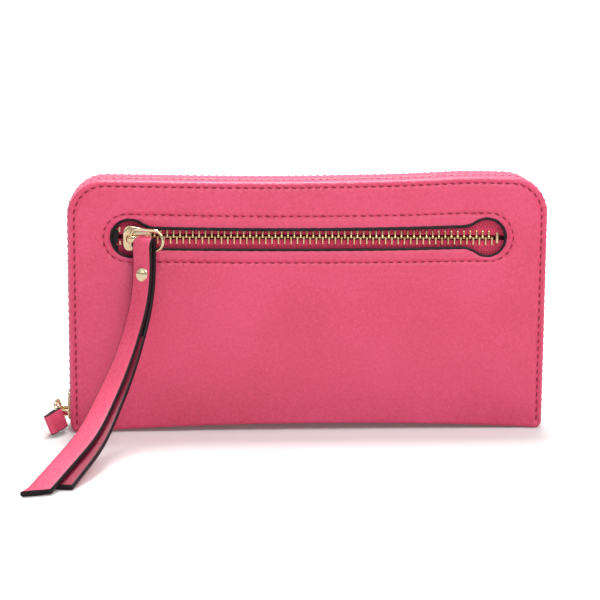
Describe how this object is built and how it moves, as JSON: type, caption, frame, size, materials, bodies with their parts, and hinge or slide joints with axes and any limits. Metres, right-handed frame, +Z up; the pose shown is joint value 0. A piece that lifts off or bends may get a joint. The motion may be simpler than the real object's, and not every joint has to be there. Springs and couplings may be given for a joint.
{
  "type": "wristlet wallet",
  "caption": "Zip-around pink wristlet wallet standing on its spine, with a keyhole-slot front zip pocket and a long folded pull strap.",
  "frame": {"origin": "middle of the spine's resting face", "axes": "+X to the right of somebody facing the front pocket, +Y from the front cover to the back cover, +Z up"},
  "size_m": [0.2101, 0.1143, 0.1065],
  "materials": {
    "leather": "fine-grain semi-matte",
    "strap_leather": "smooth fine grain with black painted edges",
    "board": "plain stiffener",
    "zip_tape": "herringbone woven tape",
    "gold_metal": "light gold plate, polished",
    "gusset_fabric": "thin twill",
    "lining": "woven lining"
  },
  "bodies": {
    "front_cover": {"front_leather": "leather", "spine_leather": "leather", "front_board": "board", "front_lining": "lining", "front_card_slip_1": "lining", "front_card_slip_2": "lining", "front_card_slip_3": "lining", "front_card_slip_4": "lining", "pocket_zip_tape_upper": "zip_tape", "pocket_zip_tape_lower": "zip_tape", "pocket_teeth_upper": "gold_metal", "pocket_teeth_lower": "gold_metal", "pocket_zip_stops": "gold_metal", "pocket_bag": "lining", "main_zip_tape_front": "zip_tape", "main_teeth_front": "gold_metal", "main_zip_stops_front": "gold_metal", "left_gusset": "gusset_fabric", "right_gusset": "gusset_fabric"},
    "back_cover": {"back_leather": "leather", "back_board": "board", "back_lining": "lining", "back_card_slip_1": "lining", "back_card_slip_2": "lining", "back_card_slip_3": "lining", "back_card_slip_4": "lining", "main_zip_tape_back": "zip_tape", "main_teeth_back": "gold_metal", "main_zip_stops_back": "gold_metal"},
    "coin_divider": {"coin_pocket_front": "lining", "coin_pocket_back": "lining", "coin_zip_tape_front": "zip_tape", "coin_zip_tape_back": "zip_tape", "coin_teeth_front": "gold_metal", "coin_teeth_back": "gold_metal"},
    "coin_slider": {"coin_slider": "gold_metal"},
    "coin_puller": {"coin_puller": "gold_metal"},
    "pocket_slider": {"pocket_slider": "gold_metal"},
    "pocket_ring": {"pocket_pull_ring": "gold_metal"},
    "pull_strap": {"pull_strap": "strap_leather", "rivet_cap": "gold_metal", "rivet_washer": "gold_metal"},
    "main_slider": {"main_slider": "gold_metal"},
    "main_ring": {"main_pull_ring": "gold_metal"},
    "main_tab": {"main_pull_tab": "strap_leather"}
  },
  "joints": [
    {"name": "cover_opening", "type": "hinge", "parent": "front_cover", "child": "back_cover", "pos_m": [0, 0.0114, 0.0009], "axis": [-1, 0, 0], "range_deg": [0, 60]},
    {"name": "divider_swing", "type": "hinge", "parent": "front_cover", "child": "coin_divider", "pos_m": [0, 0.0017, 0.003], "axis": [-1, 0, 0], "range_deg": [0, 30]},
    {"name": "coin_slider_travel", "type": "slide", "parent": "coin_divider", "child": "coin_slider", "axis": [1, 0, 0], "range_m": [0, 0.13]},
    {"name": "coin_puller_swing", "type": "hinge", "parent": "coin_slider", "child": "coin_puller", "pos_m": [-0.0698, 0.0017, 0.0889], "axis": [0, -1, 0], "range_deg": [0, 85]},
    {"name": "pocket_slider_travel", "type": "slide", "parent": "front_cover", "child": "pocket_slider", "axis": [1, 0, 0], "range_m": [0, 0.14]},
    {"name": "pocket_ring_swing", "type": "hinge", "parent": "pocket_slider", "child": "pocket_ring", "pos_m": [-0.0729, -0.0156, 0.0814], "axis": [0, 0, -1], "range_deg": [-8, 45]},
    {"name": "strap_lift", "type": "hinge", "parent": "pocket_ring", "child": "pull_strap", "pos_m": [-0.06705, -0.0182, 0.0771], "axis": [-0.9135, 0.4067, 0], "range_deg": [0, 75]},
    {"name": "main_slider_travel", "type": "slide", "parent": "front_cover", "child": "main_slider", "axis": [0, 0, 1], "range_m": [0, 0.065]},
    {"name": "main_ring_swing", "type": "hinge", "parent": "main_slider", "child": "main_ring", "pos_m": [-0.1028, -0.0022, 0.0069], "axis": [0.2569, -0.0315, -0.9659], "range_deg": [0, 90]},
    {"name": "main_tab_swing", "type": "hinge", "parent": "main_ring", "child": "main_tab", "pos_m": [-0.10382, -0.01054, 0.0069], "axis": [-0.2569, 0.0315, 0.9659], "range_deg": [-50, 20]}
  ],
  "couplings": [
    {"joint": "divider_swing", "follows": "cover_opening", "ratio": 0.5}
  ]
}
